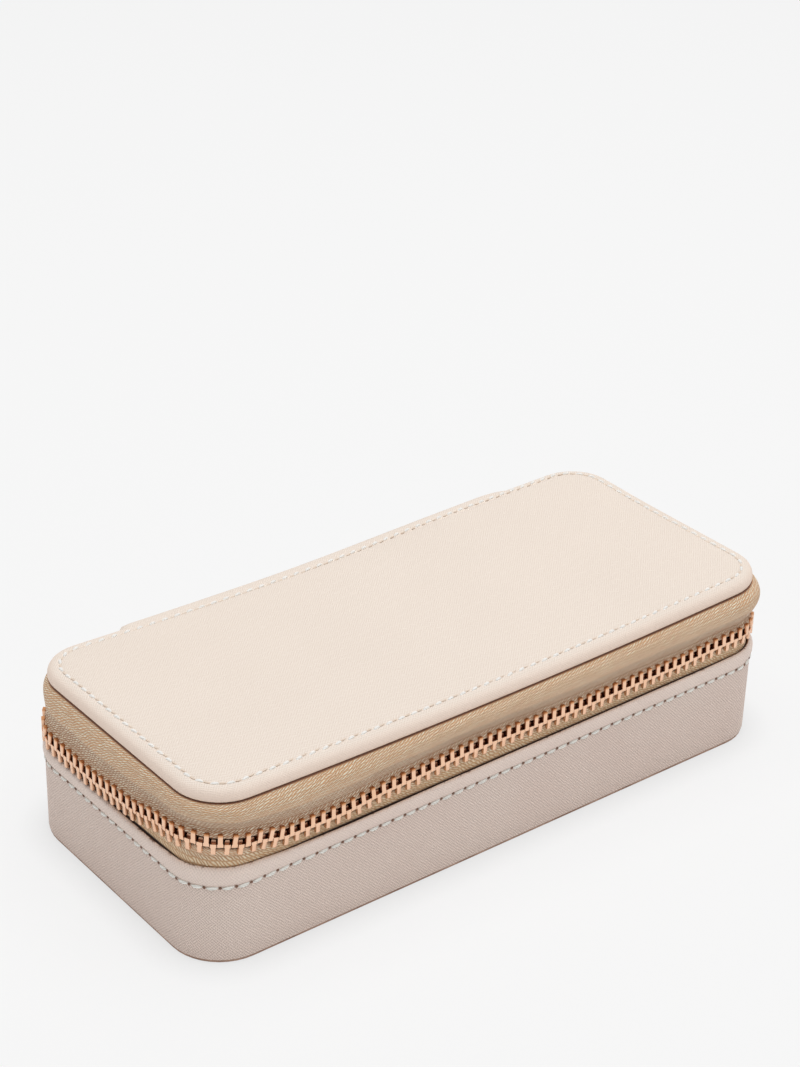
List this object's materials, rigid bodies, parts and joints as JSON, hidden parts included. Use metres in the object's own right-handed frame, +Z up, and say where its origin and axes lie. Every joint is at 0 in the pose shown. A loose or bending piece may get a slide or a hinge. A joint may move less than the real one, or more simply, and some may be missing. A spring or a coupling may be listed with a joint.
{
  "type": "jewelry box",
  "caption": "Zip-round jewelry case: rounded rectangular tray with ring rolls and dividers, low padded lid on a leathercloth hinge, metal zip with slider and pull",
  "frame": {"origin": "middle of the flat underside of the base, on the surface the case stands on", "axes": "X along the length, -Y towards the front, +Y towards the hinge, Z up"},
  "size_m": [0.184, 0.0818, 0.0466],
  "materials": {
    "leathercloth": "fine diagonal cross-hatch emboss, low sheen",
    "zip_tape": "woven herringbone tape",
    "zip_metal": "polished rose gold plate",
    "lining": "short velvet pile",
    "board": "plain grey board",
    "padding": "thin open foam"
  },
  "bodies": {
    "base": {"bottom_panel": "leathercloth", "base_cover": "leathercloth", "base_wall_board": "board", "floor_board": "board", "wall_lining": "lining", "floor_pad": "lining", "lower_zip_tape": "zip_tape", "lower_zip_teeth": "zip_metal", "lower_zip_stops": "zip_metal", "ring_divider": "lining", "side_divider": "lining", "middle_divider": "lining", "ring_roll_1": "lining", "ring_roll_2": "lining", "ring_roll_3": "lining", "ring_roll_4": "lining", "ring_roll_5": "lining", "hinge_spine": "leathercloth", "hinge_lining": "lining"},
    "lid": {"lid_cover": "leathercloth", "lid_board": "board", "lid_foam": "padding", "lid_lining": "lining", "upper_zip_tape": "zip_tape", "upper_zip_teeth": "zip_metal", "upper_zip_stops": "zip_metal"},
    "slider": {"zip_slider": "zip_metal", "slider_bridge": "zip_metal"},
    "pull": {"pull_tab": "zip_metal"}
  },
  "joints": [
    {"name": "lid_hinge", "type": "hinge", "parent": "base", "child": "lid", "pos_m": [0, 0.0405, 0.032], "axis": [-1, 0, 0], "range_deg": [0, 115], "deforming": ["hinge_spine", "hinge_lining"]},
    {"name": "zip_slide", "type": "slide", "parent": "base", "child": "slider", "axis": [0, -1, 0], "range_m": [0, 0.036], "deforming": ["upper_zip_teeth", "lower_zip_teeth"]},
    {"name": "pull_swing", "type": "hinge", "parent": "slider", "child": "pull", "pos_m": [0.09175, 0.01655, 0.032], "axis": [0, 0, 1], "range_deg": [0, 170]}
  ]
}
